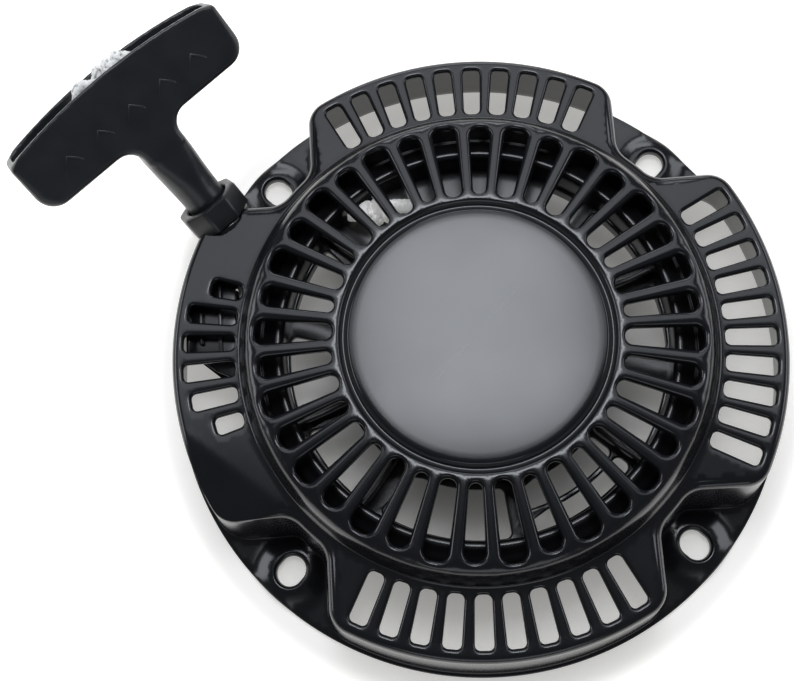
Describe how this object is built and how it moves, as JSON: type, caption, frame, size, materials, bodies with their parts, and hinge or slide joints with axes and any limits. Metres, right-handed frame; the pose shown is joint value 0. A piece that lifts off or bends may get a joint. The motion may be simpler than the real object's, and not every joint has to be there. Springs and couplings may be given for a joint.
{
  "type": "recoil starter",
  "caption": "Pull-cord recoil starter for a small engine: vented pressed housing with mounting lobes, rope reel on a centre post, T-handle on its rope.",
  "frame": {"origin": "centre of the mounting flange's underside", "axes": "+Z away from the engine along the reel's axis, +Y to the starter's top, +X to its right seen from the front"},
  "size_m": [0.2286, 0.2, 0.0676],
  "materials": {
    "black_paint": "satin black",
    "black_plastic": "satin black",
    "reel_plastic": "gloss black",
    "grip_plastic": "gloss black",
    "zinc_steel": "zinc plated",
    "spring_steel": "oiled",
    "rope": "braided"
  },
  "bodies": {
    "casing": {"housing": "black_paint", "post_plate": "zinc_steel", "centre_post": "zinc_steel", "guide_bush": "black_plastic", "guide_eyelet": "zinc_steel", "guide_bracket": "black_paint", "rope_run": "rope", "centre_screw": "zinc_steel", "thrust_washer": "zinc_steel"},
    "reel_unit": {"reel": "reel_plastic", "reel_bush": "zinc_steel", "spring_cover": "zinc_steel", "main_spring": "spring_steel", "rope_winding": "rope", "reel_knot": "rope", "pawl_pin_a": "zinc_steel", "pawl_pin_b": "zinc_steel"},
    "left_pawl": {"pawl_b": "spring_steel"},
    "right_pawl": {"pawl_a": "spring_steel"},
    "guide_unit": {"ratchet_guide": "zinc_steel", "friction_spring": "spring_steel"},
    "pull": {"handle": "grip_plastic", "handle_ferrule": "zinc_steel", "handle_knot": "rope", "rope_lead": "rope"}
  },
  "joints": [
    {"name": "reel_spin", "type": "hinge", "parent": "casing", "child": "reel_unit", "pos_m": [0, 0, 0.02], "axis": [0, 0, -1], "range_deg": [0, 695], "stiffness_Nm_per_rad": 0.02, "springref_deg": -687.55, "deforming": ["main_spring"]},
    {"name": "handle_pull", "type": "slide", "parent": "casing", "child": "pull", "axis": [-0.4821, 0.5953, 0.6428], "range_m": [0, 0.8], "deforming": ["rope_lead"]},
    {"name": "guide_turn", "type": "hinge", "parent": "reel_unit", "child": "guide_unit", "pos_m": [0, 0, 0.0093], "axis": [0, 0, 1], "range_deg": [0, 20]},
    {"name": "pawl_a_swing", "type": "hinge", "parent": "reel_unit", "child": "right_pawl", "pos_m": [0.024, 0, 0.014], "axis": [0, 0, -1], "range_deg": [0, 30]},
    {"name": "pawl_b_swing", "type": "hinge", "parent": "reel_unit", "child": "left_pawl", "pos_m": [-0.024, 0, 0.014], "axis": [0, 0, -1], "range_deg": [0, 30]}
  ],
  "couplings": [
    {"joint": "handle_pull", "follows": "reel_spin", "m_per_rad": 0.0659},
    {"joint": "pawl_a_swing", "follows": "guide_turn", "ratio": 1.5},
    {"joint": "pawl_b_swing", "follows": "guide_turn", "ratio": 1.5}
  ]
}
